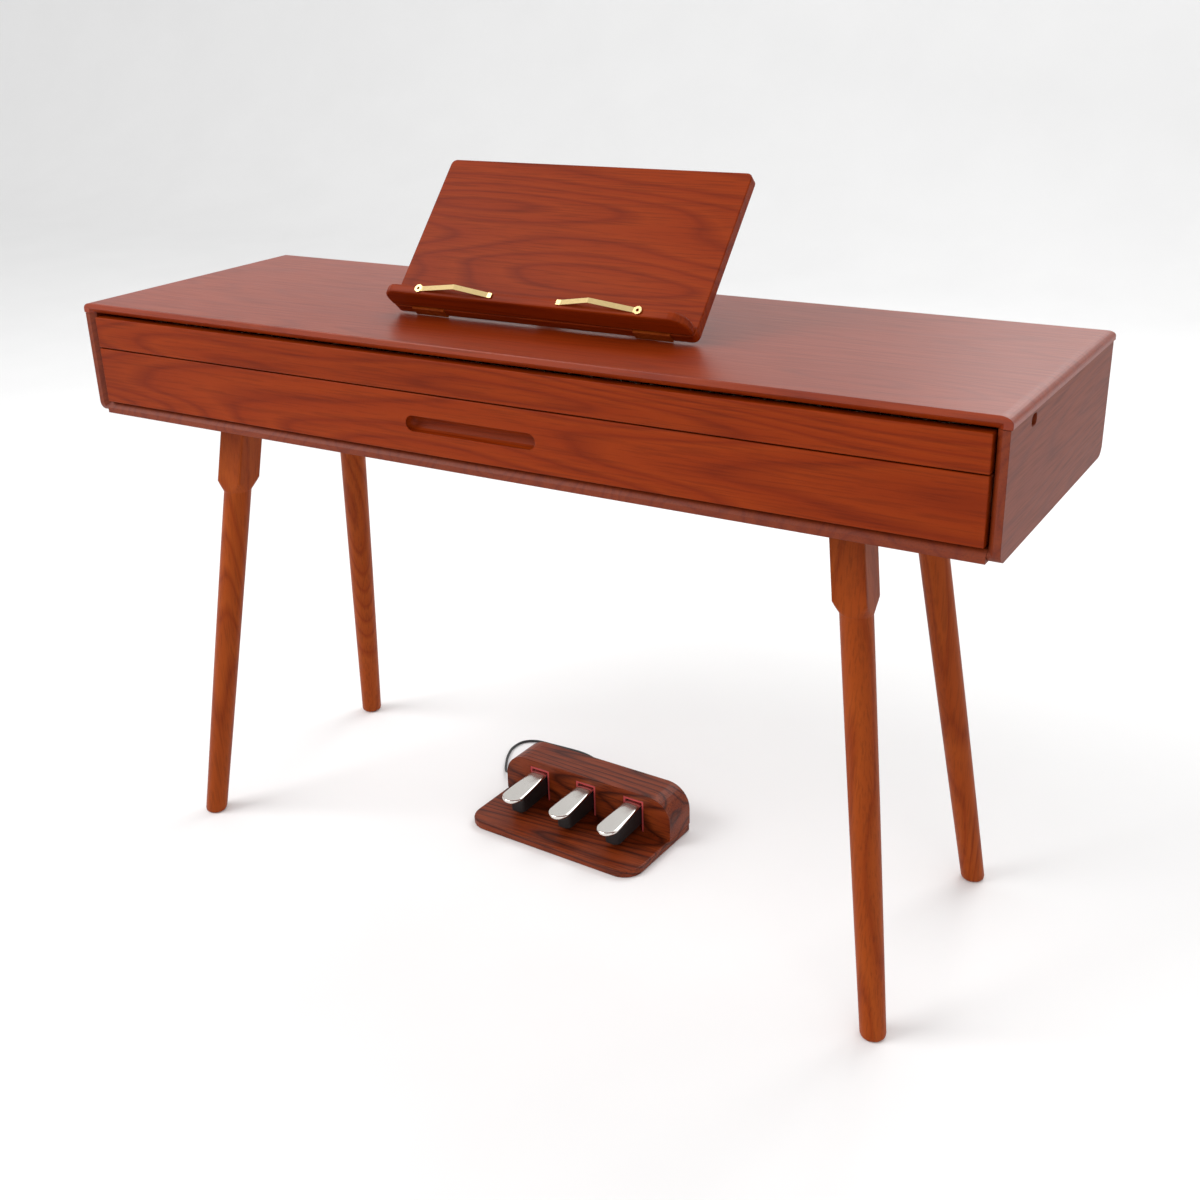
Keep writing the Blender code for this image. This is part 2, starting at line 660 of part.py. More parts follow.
def build_stand(stand, ledge, prop, clips):
    """Board and ledge drawn flat: x along the board, y up the board, z out of its face."""
    outline = rounded(-BOARD_HALF, BOARD_HALF, 0, BOARD_LEN, (0.008,) * 4, 4)
    board = prism("stand_board", outline, "z", -BOARD_T, 0, "cherry", stand)
    ease(board, 0.0010)
    half = FOOT_W / 2
    bm = bmesh.new()
    for sign in (-1, 1):
        u = sign * FOOT_U
        prism_bm(bm, [(u - half - FIT, -0.01), (u + half + FIT, -0.01), (u + half + FIT, 0.0183), (u - half - FIT, 0.0183)], "z", -BOARD_T - 0.01, 0.01)
    combine(board, cutter(put("cut_board", bm, None, stand, home=tools)))
    for sign, side in ((-1, "left"), (1, "right")):
        u = sign * FOOT_U
        back = FIT - BOARD_T
        foot = [(-FOOT_OUT, -FIT), (0.0180, -FIT), (0.0180, back), (-0.0019, back), (-FOOT_OUT, back + FIT)]
        prism("stand_foot_" + side, foot, "x", u - half, u + half, "leg", stand)
    # ledge: screwed on along its inner corner, which is its own zero
    y0 = FIT - LEDGE_T - 0.0006
    y1 = -0.0006
    shelf = rounded(-0.228, 0.228, -(LEDGE_D - LEDGE_Z), -0.0003 + LEDGE_Z, (0.022, 0.022, 0, 0), 5)
    flat = [(x, -z) for x, z in shelf]
    shape = prism("stand_ledge", flat, "y", y0, y1, "cherry", ledge)
    ease(shape, 0.0030, 2, 60)
    # prop: a light frame that hangs straight down from its hinge to the table
    reach = PROP_LEN
    body = rounded(-0.095, 0.095, -reach, 0.003, (0.010, 0.010, 0.004, 0.004), 3)
    frame_bar = prism("stand_prop", body, "y", -0.0045, 0.0045, "leg", prop)
    window = rounded(-0.060, 0.060, -reach + 0.024, -0.028, (0.012,) * 4, 3)
    cut = prism("cut_prop", window, "y", -0.02, 0.02, None, prop, tools)
    combine(frame_bar, cutter(cut))
    # page clips: a bent brass strip with an eye at its end
    for name, sign in (("page_clip_left", 1), ("page_clip_right", -1)):
        carrier = clips[name]
        bow = [(0.0, 0.0006), (0.006, 0.0006), (0.064, 0.0133), (0.1100, 0.0009), (0.1160, 0.0009)]
        thick = 0.0011
        top = [(u, h + thick) for u, h in reversed(bow)]
        profile = [(sign * u, h) for u, h in bow + top]
        strip = prism(name, profile, "y", -0.0035, 0.0035, "brass", carrier)
        eye = tube("join_eye_" + name, (0, 0), "z", 0.0055, 0.0003, 0.0022, None, 16, carrier, tools)
        combine(strip, cutter(eye), "UNION")
        hole = tube("cut_eye_" + name, (0, 0), "z", 0.0022, -0.005, 0.01, None, 12, carrier, tools)
        combine(strip, cutter(hole))


LEDGE_Z = 0.0006
PROP_LEN = 0.0


def smooth_path(points, step):
    """A Catmull-Rom curve through the points, sampled at even steps."""
    pts = [Vector(p) for p in points]
    ends = [pts[0] * 2 - pts[1]] + pts + [pts[-1] * 2 - pts[-2]]
    fine = []
    for k in range(1, len(ends) - 2):
        p0, p1, p2, p3 = ends[k - 1:k + 3]
        for i in range(40):
            t = i / 40
            a = 2 * p1
            b = (p2 - p0) * t
            c = (2 * p0 - 5 * p1 + 4 * p2 - p3) * t * t
            d = (3 * p1 - p0 - 3 * p2 + p3) * t * t * t
            fine.append((a + b + c + d) / 2)
    fine.append(pts[-1])
    total = sum((q - p).length for p, q in zip(fine, fine[1:]))
    count = max(2, round(total / step))
    out = [fine[0]]
    done, want = 0.0, total / count
    for p, q in zip(fine, fine[1:]):
        gap = (q - p).length
        while done + gap >= want * len(out) and len(out) < count:
            out.append(p.lerp(q, (want * len(out) - done) / gap))
        done += gap
    out.append(fine[-1])
    return out


def cord_tube(name, points, radius, finish, parent):
    """A plain round cord along the points, its ends closed."""
    curve = bpy.data.curves.new(name, "CURVE")
    curve.dimensions = "3D"
    curve.bevel_depth = radius
    curve.bevel_resolution = 2
    curve.use_fill_caps = True
    line = curve.splines.new("POLY")
    line.points.add(len(points) - 1)
    for spot, p in zip(line.points, points):
        spot.co = (p[0], p[1], p[2], 1)
    obj = bpy.data.objects.new(name, curve)
    piano.objects.link(obj)
    obj.parent = parent
    dress(obj, finish)
    return obj


def build_unit(unit, pedals):
    """Base plate, hollow housing with three felt-lined slots, and the pedals."""
    half = UNIT_W / 2
    v0, v1 = -UNIT_D / 2, UNIT_D / 2
    outline = rounded(-half, half, v0, v1, (0.032, 0.032, 0, 0), 7)
    base = prism("pedal_base", outline, "z", 0, UNIT_BASE_T, "oak_red", unit)
    ease(base, 0.0022, 2)
    low = UNIT_BASE_T + FIT
    front = [(-half, low), (half, low)]
    front += arc(half - UNIT_ROUND, UNIT_H - UNIT_ROUND, UNIT_ROUND, UNIT_ROUND, 0, 90, 8)
    front += arc(-half + UNIT_ROUND, UNIT_H - UNIT_ROUND, UNIT_ROUND, UNIT_ROUND, 90, 180, 8)
    house = prism("pedal_housing", front, "y", UNIT_WALL_V, v1, "oak_red", unit)
    bm = bmesh.new()
    wall = 0.0120
    inner = [(-half + wall, low - 0.01), (half - wall, low - 0.01), (half - wall, 0.040), (half - wall - 0.026, SLOT_TOP - 0.0005)]
    inner += [(-half + wall + 0.026, SLOT_TOP - 0.0005), (-half + wall, 0.040)]
    prism_bm(bm, inner, "y", UNIT_WALL_V + wall, v1 - 0.0100)
    combine(house, cutter(put("cut_cavity", bm, None, unit, home=tools)))
    bm = bmesh.new()
    for k in (-1, 0, 1):
        u = k * PEDAL_STEP
        slot = [(u - SLOT_HALF, low - 0.01), (u + SLOT_HALF, low - 0.01), (u + SLOT_HALF, SLOT_TOP), (u - SLOT_HALF, SLOT_TOP)]
        prism_bm(bm, slot, "y", UNIT_WALL_V - 0.01, UNIT_WALL_V + wall + 0.005)
    combine(house, cutter(put("cut_slots", bm, None, unit, home=tools)))
    exit_hole = tube("cut_cord_exit", (EXIT_V, EXIT_Z), "x", CORD_D / 2 + FIT, -half - 0.01, -half + 0.02, None, 16, unit, tools)
    combine(house, cutter(exit_hole))

    # one felt piece: three arches joined by a strip behind the front wall
    bm = bmesh.new()
    outer = SLOT_HALF - FIT
    clear = outer - FELT_T
    top_out = SLOT_TOP - 0.0008
    top_in = top_out - FELT_T
    for k in (-1, 0, 1):
        u = k * PEDAL_STEP
        arch = [(u - outer, low + FIT), (u - clear, low + FIT), (u - clear, top_in), (u + clear, top_in)]
        arch += [(u + clear, low + FIT), (u + outer, low + FIT), (u + outer, top_out), (u - outer, top_out)]
        prism_bm(bm, arch, "y", UNIT_WALL_V + FIT, UNIT_WALL_V + wall + 0.0022)
    felt = put("slot_felt", bm, "felt", unit)
    strip = box(
        "join_felt",
        (-PEDAL_STEP - 0.010, PEDAL_STEP + 0.010),
        (UNIT_WALL_V + wall + FIT, UNIT_WALL_V + wall + 0.0016),
        (top_in + 0.0002, top_out - 0.0002),
        None,
        unit,
        tools,
    )
    combine(felt, cutter(strip), "UNION")

    names = ("soft", "middle", "damper")
    for k, name in enumerate(names):
        build_pedal(name, pedals[name])
    return base


def build_pedal(name, carrier):
    """A spoon-shaped metal plate on a black lever; origin on the pivot."""
    nose_v = -0.0440
    r = 0.0178
    neck = 0.0138
    pts = [(neck, 0.0600)]
    pts += [(neck, 0.0200), (neck + 0.0012, 0.0020), (neck + 0.0030, -0.0160), (r - 0.0002, -0.0340)]
    pts += [(x, v) for x, v in arc(0, nose_v, r, r, 0, -180, 12)]
    pts += [(-(r - 0.0002), -0.0340), (-neck - 0.0030, -0.0160), (-neck - 0.0012, 0.0020), (-neck, 0.0200)]
    pts += [(-neck, 0.0600)]
    local = [(x, v - PEDAL_PIVOT_V) for x, v in pts]
    plate = prism("pedal_" + name, local, "z", 0, PEDAL_T, "nickel", carrier)
    ease(plate, 0.0018, 2)
    # tilt the plate down towards its tip about the point where it leaves the housing
    top = PEDAL_Z - PEDAL_T
    tilt = math.atan(PEDAL_SLOPE)
    move = Matrix.Translation((0, UNIT_WALL_V - PEDAL_PIVOT_V, top - PEDAL_PIVOT_Z))
    move = move @ Matrix.Rotation(tilt, 4, "X")
    move = move @ Matrix.Translation((0, PEDAL_PIVOT_V - UNIT_WALL_V, 0))
    plate.data.transform(move)

    def under(v):
        return top + (v - UNIT_WALL_V) * PEDAL_SLOPE - FIT - 0.0001

    front, rear = -0.0390, 0.0660
    side = [(front, 0.0205), (0.0256, 0.0240), (rear, 0.0255)]
    side += [(rear, under(rear)), (front, under(front))]
    side = [(v - PEDAL_PIVOT_V, z - PEDAL_PIVOT_Z) for v, z in side]
    lever = prism("lever_" + name, side, "x", -LEVER_HALF, LEVER_HALF, "black", carrier)
    nose = rounded(-LEVER_HALF, LEVER_HALF, front - PEDAL_PIVOT_V, rear - PEDAL_PIVOT_V, (0.0085, 0.0085, 0.001, 0.001), 5)
    shape = prism("shape_lever_" + name, nose, "z", -0.06, 0.06, None, carrier, tools)
    combine(lever, cutter(shape), "INTERSECT")


EXIT_V = 0.0640
EXIT_Z = 0.0200


def build_cord(unit):
    """The pedal cord runs out of the left end, round on the floor and into a coil."""
    r = CORD_D / 2
    rest = r + 0.0001
    x0 = -UNIT_W / 2
    route = [
        (x0 + 0.008, EXIT_V, EXIT_Z),
        (x0, EXIT_V, EXIT_Z),
        (x0 - 0.010, EXIT_V, EXIT_Z - 0.0006),
        (x0 - 0.026, EXIT_V + 0.004, 0.0115),
        (x0 - 0.044, EXIT_V + 0.0135, rest + 0.0012),
        (x0 - 0.0615, EXIT_V + 0.037, rest),
        (x0 - 0.075, EXIT_V + 0.0605, rest),
        (x0 - 0.0835, EXIT_V + 0.086, rest),
        (x0 - 0.080, EXIT_V + 0.1115, rest),
        (x0 - 0.061, EXIT_V + 0.1255, rest),
        (x0 - 0.033, EXIT_V + 0.1285, rest),
        (x0 - 0.005, EXIT_V + 0.1305, rest),
        (x0 + 0.025, EXIT_V + 0.132, rest),
        (x0 + 0.051, EXIT_V + 0.128, rest),
        (x0 + 0.075, EXIT_V + 0.1175, rest),
        (x0 + 0.098, EXIT_V + 0.106, rest),
    ]
    # the last stretch runs up beside the coil, a hair outside its turns
    side = COIL_U - COIL_R - CORD_D - r
    route += [(side - 0.0070, COIL_V + 0.0190, rest), (side - 0.0017, COIL_V + 0.0050, rest), (side, COIL_V - 0.0070, rest)]
    points = smooth_path(route, CORD_D * 2.4)
    cord_tube("pedal_cord", points, r, "rubber", unit)
    inner, outer, tall = COIL_R - CORD_D, COIL_R + CORD_D, CORD_D * 3
    rim = 0.0012
    profile = [
        (outer - rim, tall),
        (outer, tall - rim),
        (outer, rim),
        (outer - rim, 0.0001),
        (inner + rim, 0.0001),
        (inner, rim),
        (inner, tall - rim),
        (inner + rim, tall),
        (outer - rim, tall),
    ]
    turned("cord_coil", profile, (COIL_U, COIL_V, 0), Matrix.Identity(4), "rubber", 28, unit)
    plug = [(0, 0.0), (0.0058, 0.0), (0.0066, -0.004), (0.0066, -0.024), (0.0052, -0.027), (0.0031, -0.0275), (0.0031, -0.044), (0, -0.046)]
    turn = Matrix.Rotation(math.radians(90), 4, "Y")
    turned("cord_plug", plug, (COIL_U + outer + FIT + 0.046, COIL_V, 0.0068), turn, "black", 16, unit)


COIL_U = 0.003
COIL_V = 0.137
COIL_R = 0.0265

drawer_frame = frame("drawer_frame", (0, 0, 0))
middle_frame = frame("middle_frame", (0, 0, 0))
flap_frame = frame("flap_frame", (0, FRONT_Y, FLAP_AXIS_Z), parent=drawer_frame)
key_frames = []
for group in range(len(GROUPS)):
    pair = []
    for kind in ("white", "black"):
        pair.append(frame("%s_axis_%d" % (kind, group + 1), (0, at(PIVOT_V), PIVOT_Z), parent=drawer_frame))
    key_frames.append(pair)
control_frames = {}
for control, (x, _, rise) in BUTTONS.items():
    control_frames[control] = frame(control + "_axis", (x, at(CONTROL_V), PANEL_Z1), parent=drawer_frame)
control_frames["volume_knob"] = frame("knob_axis", (KNOB_X, at(CONTROL_V), PANEL_Z1), parent=drawer_frame)

build_top()
build_sides()
build_jack()
build_bottom_and_back()
build_legs()
build_runners(drawer_frame, middle_frame)
build_front(drawer_frame, flap_frame)
build_box(drawer_frame)
build_keys(key_frames)
build_panel(drawer_frame, control_frames)

tilt = stand_turn()
origin = Vector((STAND_X, STAND_Y, TOP_Z + STAND_RISE))
stand_frame = frame("stand_frame", origin, tilt)
ledge_at = Vector((0, LEDGE_T + 0.0006, LEDGE_Z))
ledge_frame = frame("ledge_frame", ledge_at, parent=stand_frame)
prop_spot = tilt @ Vector((0, PROP_A, -BOARD_T - 0.0066)) + origin
prop_frame = frame("prop_axis", prop_spot)
PROP_LEN = prop_spot.z - TOP_Z - FIT
clip_frames = {}
for clip, place in (("page_clip_left", -CLIP_U), ("page_clip_right", CLIP_U)):
    spot = Vector((place, 0.0078 - (LEDGE_T + 0.0006), LEDGE_D - LEDGE_Z))
    clip_frames[clip] = frame(clip + "_axis", spot, parent=ledge_frame)
build_stand(stand_frame, ledge_frame, prop_frame, clip_frames)

unit_frame = frame("unit_frame", (UNIT_X, UNIT_Y, 0), Matrix.Rotation(UNIT_TURN, 4, "Z"))
pedal_frames = {}
for index, title in enumerate(("soft", "middle", "damper")):
    pedal_frames[title] = frame(title + "_pedal_axis", ((index - 1) * PEDAL_STEP, PEDAL_PIVOT_V, PEDAL_PIVOT_Z), parent=unit_frame)
build_unit(unit_frame, pedal_frames)
build_cord(unit_frame)
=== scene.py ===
# %% [markdown]
# # A desk piano, dressed
# The joinery, drawer, keys and pedals come ready made as a measured frame. This lesson adds
# what a frame leaves out: the camera, the woods and metals, turned legs with a true round
# shaft, spoon-shaped pedals and the free cord of the pedal unit.

import math

import bmesh
import bpy
import numpy as np
from mathutils import Matrix, Vector


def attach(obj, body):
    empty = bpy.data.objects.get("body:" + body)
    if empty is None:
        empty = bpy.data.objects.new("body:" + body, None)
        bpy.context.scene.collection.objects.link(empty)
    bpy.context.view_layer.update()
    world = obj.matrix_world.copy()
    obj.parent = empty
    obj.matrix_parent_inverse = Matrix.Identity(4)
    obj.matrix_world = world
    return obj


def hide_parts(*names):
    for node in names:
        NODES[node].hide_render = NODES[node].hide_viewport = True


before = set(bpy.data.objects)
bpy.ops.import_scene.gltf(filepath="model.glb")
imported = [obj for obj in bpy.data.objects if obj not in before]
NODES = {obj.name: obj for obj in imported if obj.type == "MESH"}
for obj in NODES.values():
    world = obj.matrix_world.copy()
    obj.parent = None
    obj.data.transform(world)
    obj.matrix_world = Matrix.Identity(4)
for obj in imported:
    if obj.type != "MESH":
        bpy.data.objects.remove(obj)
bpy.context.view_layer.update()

# %% [markdown]
# ## Camera
# The photograph is taken from the right, a little above eye height of a seated player. The
# camera stands where a fit of the case's edges and the legs puts it, with the same field of
# view and the same slight roll.

# %% Camera
YAW, PITCH, ROLL = (math.radians(a) for a in (31.6975, -23.3211, -1.6709))
CAMERA_AT = (1.0549, -1.6173, 1.2356)
SENSOR_MM, LENS_MM = 36.0, 43.78

look = Vector((-math.sin(YAW) * math.cos(PITCH), math.cos(YAW) * math.cos(PITCH), math.sin(PITCH)))
level = Vector((math.cos(YAW), math.sin(YAW), 0))
upright = level.cross(look)
across_frame = math.cos(ROLL) * level + math.sin(ROLL) * upright
up_frame = -math.sin(ROLL) * level + math.cos(ROLL) * upright

cam_data = bpy.data.cameras.new("camera")
cam_data.sensor_width = SENSOR_MM
cam_data.lens = LENS_MM
camera = bpy.data.objects.new("camera", cam_data)
bpy.context.scene.collection.objects.link(camera)
camera.matrix_world = Matrix((
    (across_frame.x, up_frame.x, -look.x, CAMERA_AT[0]),
    (across_frame.y, up_frame.y, -look.y, CAMERA_AT[1]),
    (across_frame.z, up_frame.z, -look.z, CAMERA_AT[2]),
    (0, 0, 0, 1),
))
bpy.context.scene.camera = camera
print("camera height", round(camera.location.z, 3), "m, lens", cam_data.lens, "mm")

# %% [markdown]
# ## Surfaces from a grid
# Every new piece of this lesson is a surface over a grid of points. Row i and column j of an
# array hold the point (x, y, z), and each small square of the grid becomes one face. A piece
# that is round closes on itself across its columns, and a pole is a row of equal points that
# are merged afterwards.

# %% Grid surfaces


def grid_mesh(name, points, close_v=False):
    """A quad surface from an array points[i, j] = (x, y, z), its last column joined to its
    first where asked."""
    rows, cols = points.shape[:2]
    i = np.arange(rows - 1)
    j = np.arange(cols if close_v else cols - 1)
    a, b = np.meshgrid(i, j, indexing="ij")
    a2, b2 = a + 1, (b + 1) % cols
    corners = [a * cols + b, a2 * cols + b, a2 * cols + b2, a * cols + b2]
    quads = np.stack(corners, -1).reshape(-1, 4)
    mesh = bpy.data.meshes.new(name)
    mesh.from_pydata(points.reshape(-1, 3).tolist(), [], quads.tolist())
    mesh.polygons.foreach_set("use_smooth", np.ones(len(quads), dtype=bool))
    obj = bpy.data.objects.new(name, mesh)
    bpy.context.scene.collection.objects.link(obj)
    return obj


MERGE_DIST = 1e-6


def outward(obj):
    """Merges doubled points, such as those at a pole, and turns every face outwards."""
    bm = bmesh.new()
    bm.from_mesh(obj.data)
    bmesh.ops.remove_doubles(bm, verts=bm.verts, dist=MERGE_DIST)
    bmesh.ops.recalc_face_normals(bm, faces=bm.faces)
    bm.to_mesh(obj.data)
    bm.free()
    return obj


print("grid surfaces merge points closer than", MERGE_DIST, "m")

# %% [markdown]
# ## Room
# A plain pale floor that runs up into a plain wall, and light from three wide soft panels. The
# photograph has soft shadows to the right of the legs, so the strongest panel stands on the
# left, and a weak one on the right keeps the shadows open.

# %% Backdrop
FLOOR_FRONT, FLOOR_BACK = -6.0, 4.0
BEND_R, WALL_RISE = 1.5, 6.0
BEND_FROM, BEND_TO = 0.5, 0.7
HALF_WIDTH = 9.0
FLOOR_DROP = 0.0003


def backdrop():
    """As s runs from 0 to 1 a floor just under z = 0 runs back, a quarter circle of radius
    BEND_R turns it up, and a wall rises by WALL_RISE. Two columns give it its width."""
    s = np.linspace(0, 1, 60)
    bend = np.clip((s - BEND_FROM) / (BEND_TO - BEND_FROM), 0, 1) * math.pi / 2
    floor_y = FLOOR_FRONT + (FLOOR_BACK - FLOOR_FRONT) * s / BEND_FROM
    bend_y = FLOOR_BACK + BEND_R * np.sin(bend)
    bend_z = np.where(s < BEND_FROM, 0, BEND_R * (1 - np.cos(bend)))
    wall_z = WALL_RISE * np.clip((s - BEND_TO) / (1 - BEND_TO), 0, 1)
    points = np.zeros((len(s), 2, 3))
    points[..., 0] = np.array([-HALF_WIDTH, HALF_WIDTH])[None, :]
    points[..., 1] = np.where(s < BEND_FROM, floor_y, bend_y)[:, None]
    points[..., 2] = (bend_z + wall_z)[:, None] - FLOOR_DROP
    return grid_mesh("backdrop", points)


room = backdrop()
print("backdrop with", len(room.data.polygons), "faces")

# %% Light
SKY = (1.0, 1.0, 1.0, 1)
SKY_STRENGTH = 0.85

world = bpy.data.worlds.new("studio")
world.use_nodes = True
world.node_tree.nodes["Background"].inputs["Color"].default_value = SKY
world.node_tree.nodes["Background"].inputs["Strength"].default_value = SKY_STRENGTH
bpy.context.scene.world = world


def panel_light(name, place, aim, size, power):
    """A square area light of the given size in metres and power in watts that faces the aim
    point."""
    data = bpy.data.lights.new(name, "AREA")
    data.size = size
    data.energy = power
    lamp = bpy.data.objects.new(name, data)
    bpy.context.scene.collection.objects.link(lamp)
    lamp.location = place
    lamp.rotation_euler = (Vector(aim) - Vector(place)).to_track_quat("-Z", "Y").to_euler()
    return lamp


lamps = [
    panel_light("key_light", place=(-2.6, -2.2, 3.4), aim=(0, 0, 0.4), size=2.4, power=110),
    panel_light("fill_light", place=(2.8, -2.6, 2.2), aim=(0, 0, 0.5), size=2.0, power=14),
    panel_light("back_light", place=(0.5, 3.0, 3.2), aim=(0, 0, 0.8), size=2.4, power=55),
]
bpy.context.scene.view_settings.view_transform = "Standard"
print("lights:", ", ".join(lamp.name for lamp in lamps))

# %% [markdown]
# ## Shader helpers
# A finish is a small graph of shader nodes. Six helpers keep the graphs short: a new material,
# a colour ramp, a pattern space that is stretched and shifted, a noise that reads it, a change
# of range and a relief. Every pattern reads the object's own coordinates in metres, so it stays
# put when the piece moves.

# %% Shader helpers


def new_material(name):
    """A material with its node list, its link list and its shader."""
    mat = bpy.data.materials.new(name)
    mat.use_nodes = True
    tree = mat.node_tree
    return mat, tree.nodes, tree.links, tree.nodes["Principled BSDF"]


def ramp(nodes, stops):
    """A colour ramp with (place, colour) stops."""
    node = nodes.new("ShaderNodeValToRGB")
    ends = node.color_ramp.elements
    for end, (place, colour) in ((ends[0], stops[0]), (ends[1], stops[-1])):
        end.position = place
        end.color = (*colour, 1)
    for place, colour in stops[1:-1]:
        node.color_ramp.elements.new(place).color = (*colour, 1)
    return node


def scaled(nodes, link, source, scale, place=(0, 0, 0)):
    """Coordinates times scale plus place, axis by axis."""
    mapping = nodes.new("ShaderNodeMapping")
    mapping.inputs["Scale"].default_value = scale
    mapping.inputs["Location"].default_value = place
    link.new(source, mapping.inputs["Vector"])
    return mapping.outputs["Vector"]


def noise(nodes, link, vector, scale, detail, rough=0.5):
    """A noise with values round 0.5, read at vector times scale."""
    node = nodes.new("ShaderNodeTexNoise")
    node.inputs["Scale"].default_value = scale
    node.inputs["Detail"].default_value = detail
    node.inputs["Roughness"].default_value = rough
    link.new(vector, node.inputs["Vector"])
    return node


def spread(nodes, link, source, low, high):
    """Carries values from 0 to 1 over to values from low to high."""
    node = nodes.new("ShaderNodeMapRange")
    node.inputs["To Min"].default_value = low
    node.inputs["To Max"].default_value = high
    link.new(source, node.inputs["Value"])
    return node.outputs[0]


def relief(nodes, link, height, strength, distance):
    """Tilts the surface as if it rose and fell by height times distance."""
    node = nodes.new("ShaderNodeBump")
    node.inputs["Strength"].default_value = strength
    node.inputs["Distance"].default_value = distance
    link.new(height, node.inputs["Height"])
    return node


print("shader helpers are ready")

# %% [markdown]
# ## Woods
# The case looks veneered: long straight grain with a few arches, under a satin lacquer. Growth
# rings cut by a flat board show as long nested lines, so the rings here are the level lines of
# a slow noise that is stretched along the grain. Fine short pores and wide faint clouds are
# laid over them, and a small rounding softens the light on every arris.

# %% Wood material
RING_COUNT = 17.0
SLOW_ALONG, SLOW_ACROSS = 0.9, 7
FINE_ALONG, FINE_ACROSS = 14, 420
CLOUD_SCALE = (2.1, 2.1, 2.1)
CLOUD_DARK, CLOUD_LIGHT = (0.88, 0.86, 0.85), (1.06, 1.05, 1.04)
PORE_STRENGTH, PORE_DEPTH = 0.12, 0.0004
ARRIS_R = 0.0012


def along_grain(axis, along, across):
    """The value along on the grain's own axis and across on the other two."""
    return tuple(along if letter == axis else across for letter in "xyz")


def multiply(nodes, link, first, second):
    """One colour times another."""
    mix = nodes.new("ShaderNodeMix")
    mix.data_type = "RGBA"
    mix.blend_type = "MULTIPLY"
    mix.inputs["Factor"].default_value = 1.0
    link.new(first, mix.inputs[6])
    link.new(second, mix.inputs[7])
    return mix.outputs[2]


def ring_phase(nodes, link, figure):
    """The fraction of RING_COUNT times the slow noise: it runs from 0 to 1 once per ring."""
    rings = nodes.new("ShaderNodeMath")
    rings.operation = "MULTIPLY"
    rings.inputs[1].default_value = RING_COUNT
    link.new(figure.outputs["Fac"], rings.inputs[0])
    phase = nodes.new("ShaderNodeMath")
    phase.operation = "FRACT"
    link.new(rings.outputs[0], phase.inputs[0])
    return phase.outputs[0]


def wood(name, tones, axis, shift, rough=0.40, pores=0.22, gloss=0.10):
    """Colour is rings times pores times clouds. tones are the dark, middle and light of a
    ring, axis is the way of the grain, and shift picks another stretch of the noise."""
    dark, middle, light = tones
    mat, nodes, link, shader = new_material(name)
    coords = nodes.new("ShaderNodeTexCoord").outputs["Object"]
    slow = scaled(nodes, link, coords, along_grain(axis, SLOW_ALONG, SLOW_ACROSS), shift)
    fine = scaled(nodes, link, coords, along_grain(axis, FINE_ALONG, FINE_ACROSS), shift)
    wide = scaled(nodes, link, coords, CLOUD_SCALE, shift)
    figure = noise(nodes, link, slow, scale=1.3, detail=1.5, rough=0.35)
    streak = noise(nodes, link, fine, scale=1.0, detail=4, rough=0.6)
    cloud = noise(nodes, link, wide, scale=1.0, detail=2)

    body = ramp(nodes, [(0.0, middle), (0.55, light), (0.86, dark), (1.0, middle)])
    link.new(ring_phase(nodes, link, figure), body.inputs["Fac"])
    pore = ramp(nodes, [(0.36, (1 - pores,) * 3), (0.52, (1, 1, 1))])
    link.new(streak.outputs["Fac"], pore.inputs["Fac"])
    tone = ramp(nodes, [(0.3, CLOUD_DARK), (0.7, CLOUD_LIGHT)])
    link.new(cloud.outputs["Fac"], tone.inputs["Fac"])
    colour = multiply(nodes, link, body.outputs["Color"], pore.outputs["Color"])
    colour = multiply(nodes, link, colour, tone.outputs["Color"])
    link.new(colour, shader.inputs["Base Color"])

    satin = spread(nodes, link, streak.outputs["Fac"], rough + 0.08, rough - 0.05)
    link.new(satin, shader.inputs["Roughness"])
    bump = relief(nodes, link, streak.outputs["Fac"], PORE_STRENGTH, PORE_DEPTH)
    soft = nodes.new("ShaderNodeBevel")
    soft.samples = 4
    soft.inputs["Radius"].default_value = ARRIS_R
    link.new(soft.outputs["Normal"], bump.inputs["Normal"])
    link.new(bump.outputs["Normal"], shader.inputs["Normal"])
    shader.inputs["Specular IOR Level"].default_value = gloss
    return mat


# %% Wood colours
CHERRY = ((0.175, 0.0170, 0.0006), (0.222, 0.0235, 0.0008), (0.245, 0.0290, 0.0012))
# The top board is the front's cherry with a lighter, pinker tint: painted sheen in place of the reflections
# that the top catches.
TOP_CHERRY_SHEEN = ((0.205, 0.0190, 0.0010), (0.238, 0.0245, 0.0012), (0.258, 0.0300, 0.0018))
LEG = ((0.235, 0.0340, 0.0020), (0.282, 0.0460, 0.0034), (0.312, 0.0560, 0.0050))
SIDE = ((0.150, 0.0165, 0.0010), (0.178, 0.0220, 0.0014), (0.195, 0.0265, 0.0020))
UNIT = ((0.055, 0.0065, 0.0010), (0.165, 0.0230, 0.0035), (0.215, 0.0350, 0.0060))
PLAIN = ((0.330, 0.215, 0.120), (0.420, 0.290, 0.170), (0.500, 0.360, 0.225))

woods = {
    "front": wood("wood_front", CHERRY, "x", (0.3, 0.1, 0.7)),
    "flap": wood("wood_flap", CHERRY, "x", (1.7, 0.4, 0.2)),
    "top": wood("wood_top", TOP_CHERRY_SHEEN, "x", (0.5, 0.2, 0.1), rough=0.34, gloss=0.35),
    "side": wood("wood_side", SIDE, "y", (0.2, 0.8, 0.1), rough=0.50, gloss=0.30),
    "leg": wood("wood_leg", LEG, "z", (0.1, 0.5, 0.3)),
    "unit": wood("wood_unit", UNIT, "x", (0.9, 0.6, 0.5), rough=0.42, pores=0.55, gloss=0.20),
    "plain": wood("wood_plain", PLAIN, "x", (0.0, 0.3, 0.9), rough=0.6),
}
print("woods:", ", ".join(woods))

